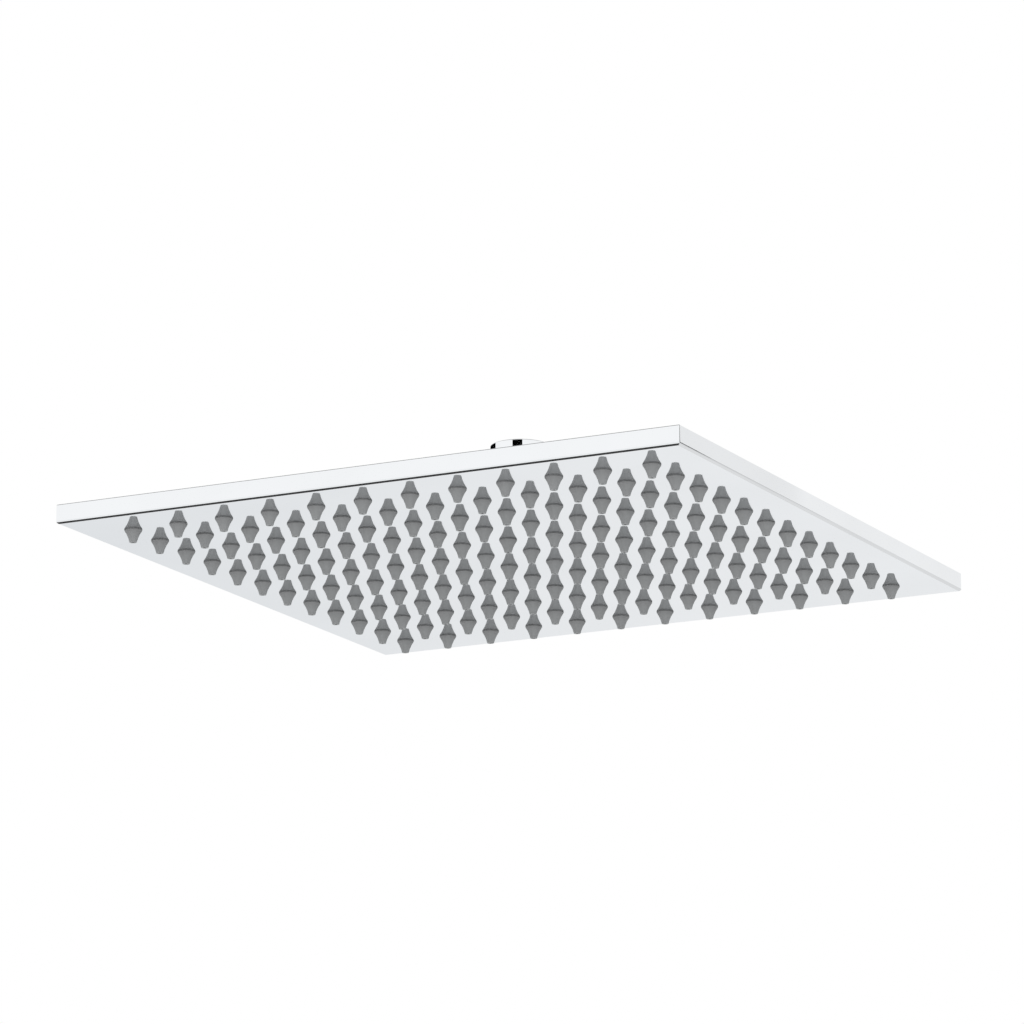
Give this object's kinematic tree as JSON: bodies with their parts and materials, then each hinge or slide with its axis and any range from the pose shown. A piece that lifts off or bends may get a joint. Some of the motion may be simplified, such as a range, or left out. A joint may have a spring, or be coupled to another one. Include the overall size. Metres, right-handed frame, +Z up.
{
  "type": "rain shower head",
  "caption": "Square rain shower head: a thin chromed tray with a field of grey silicone nozzles below, hung from a ball joint with a swivelling inlet nut.",
  "frame": {"origin": "centre of the inlet's mouth, on the axis of the inlet thread", "axes": "+Z up along the inlet towards the shower arm, X and Y along the sides of the head"},
  "size_m": [0.3, 0.3, 0.0575],
  "materials": {
    "chrome": "polished chrome plate",
    "silicone": "matt grey silicone",
    "seal_rubber": "matt black rubber",
    "bearing_plastic": "natural white plastic",
    "moulded_plastic": "moulded dark grey plastic",
    "steel": "stainless steel",
    "brass": "turned brass"
  },
  "bodies": {
    "inlet": {"inlet_nut": "chrome", "inlet_washer": "seal_rubber", "inlet_strainer": "steel"},
    "stem": {"ball_stem": "chrome", "flow_regulator": "bearing_plastic", "regulator_ring": "seal_rubber"},
    "bearing": {"bearing_ring": "bearing_plastic"},
    "head": {"retaining_nut": "chrome", "ball_seal": "seal_rubber", "swivel_hub": "chrome", "hub_gasket": "seal_rubber", "hub_lock_nut": "brass", "top_cover": "chrome", "cover_gasket": "seal_rubber", "retainer_plate": "moulded_plastic", "retainer_studs": "steel", "retainer_nuts": "steel", "nozzle_mat": "silicone", "face_tray": "chrome"}
  },
  "joints": [
    {"name": "inlet_swivel", "type": "hinge", "parent": "inlet", "child": "stem", "pos_m": [0, 0, -0.031], "axis": [0, 0, 1], "continuous": true},
    {"name": "head_tilt_x", "type": "hinge", "parent": "stem", "child": "bearing", "pos_m": [0, 0, -0.031], "axis": [1, 0, 0], "range_deg": [-10, 10]},
    {"name": "head_tilt_y", "type": "hinge", "parent": "bearing", "child": "head", "pos_m": [0, 0, -0.031], "axis": [0, 1, 0], "range_deg": [-10, 10]}
  ]
}
